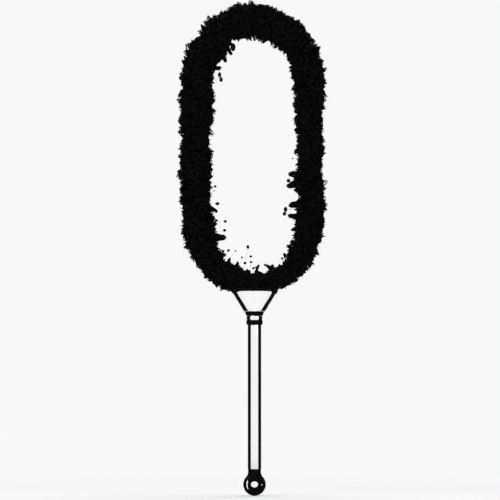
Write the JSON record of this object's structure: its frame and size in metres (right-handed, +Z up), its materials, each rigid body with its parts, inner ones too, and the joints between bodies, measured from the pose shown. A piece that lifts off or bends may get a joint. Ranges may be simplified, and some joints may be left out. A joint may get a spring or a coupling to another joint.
{
  "type": "lambswool loop duster",
  "caption": "Hand duster with an open loop of black lambswool pile on a bent rod, a bright ferrule, and a telescoping tube handle with lock collar and hang cap.",
  "frame": {"origin": "middle of the handle tube, on its axis", "axes": "+Z up the handle towards the wool loop, the loop lies in the XZ plane and faces -Y and +Y, +X across the loop"},
  "size_m": [0.1765, 0.0473, 0.6041],
  "materials": {
    "tube_steel": "bright drawn steel tube",
    "plated_steel": "bright nickel plate",
    "plain_steel": "plain zinc-plated steel",
    "rod_steel": "drawn spring steel rod",
    "black_gloss": "glossy black moulded plastic",
    "black_nylon": "black nylon",
    "natural_nylon": "natural nylon",
    "black_rubber": "ribbed black rubber",
    "hide": "suede side of tanned sheepskin",
    "black_wool": "dyed lambswool pile with curled tips"
  },
  "bodies": {
    "handle": {"handle_tube": "tube_steel", "hang_cap": "black_gloss", "collet": "black_nylon"},
    "collar": {"lock_collar": "plated_steel", "collar_grip": "black_rubber"},
    "slider": {"stop_ring": "natural_nylon"},
    "head": {"inner_tube": "tube_steel", "inner_tube_plug": "natural_nylon", "stop_washer": "plain_steel", "stop_screw": "plain_steel", "ferrule_washer": "black_nylon", "ferrule_shell": "plated_steel", "ferrule_plate": "plated_steel", "tail_block": "natural_nylon", "tail_pin_left": "plain_steel", "tail_pin_right": "plain_steel", "tube_pin": "plain_steel", "loop_rod": "rod_steel", "hide_sleeve": "hide", "sleeve_clamp_left": "plain_steel", "sleeve_clamp_right": "plain_steel", "wool_pile": "black_wool"}
  },
  "joints": [
    {"name": "collar_twist", "type": "hinge", "parent": "handle", "child": "collar", "pos_m": [0, 0, 0.0959], "axis": [0, 0, 1], "range_deg": [0, 120]},
    {"name": "extension_slide", "type": "slide", "parent": "handle", "child": "slider", "axis": [0, 0, 1], "range_m": [0, 0.13]},
    {"name": "head_swivel", "type": "hinge", "parent": "slider", "child": "head", "pos_m": [0, 0, -0.0592], "axis": [0, 0, 1], "continuous": true}
  ]
}
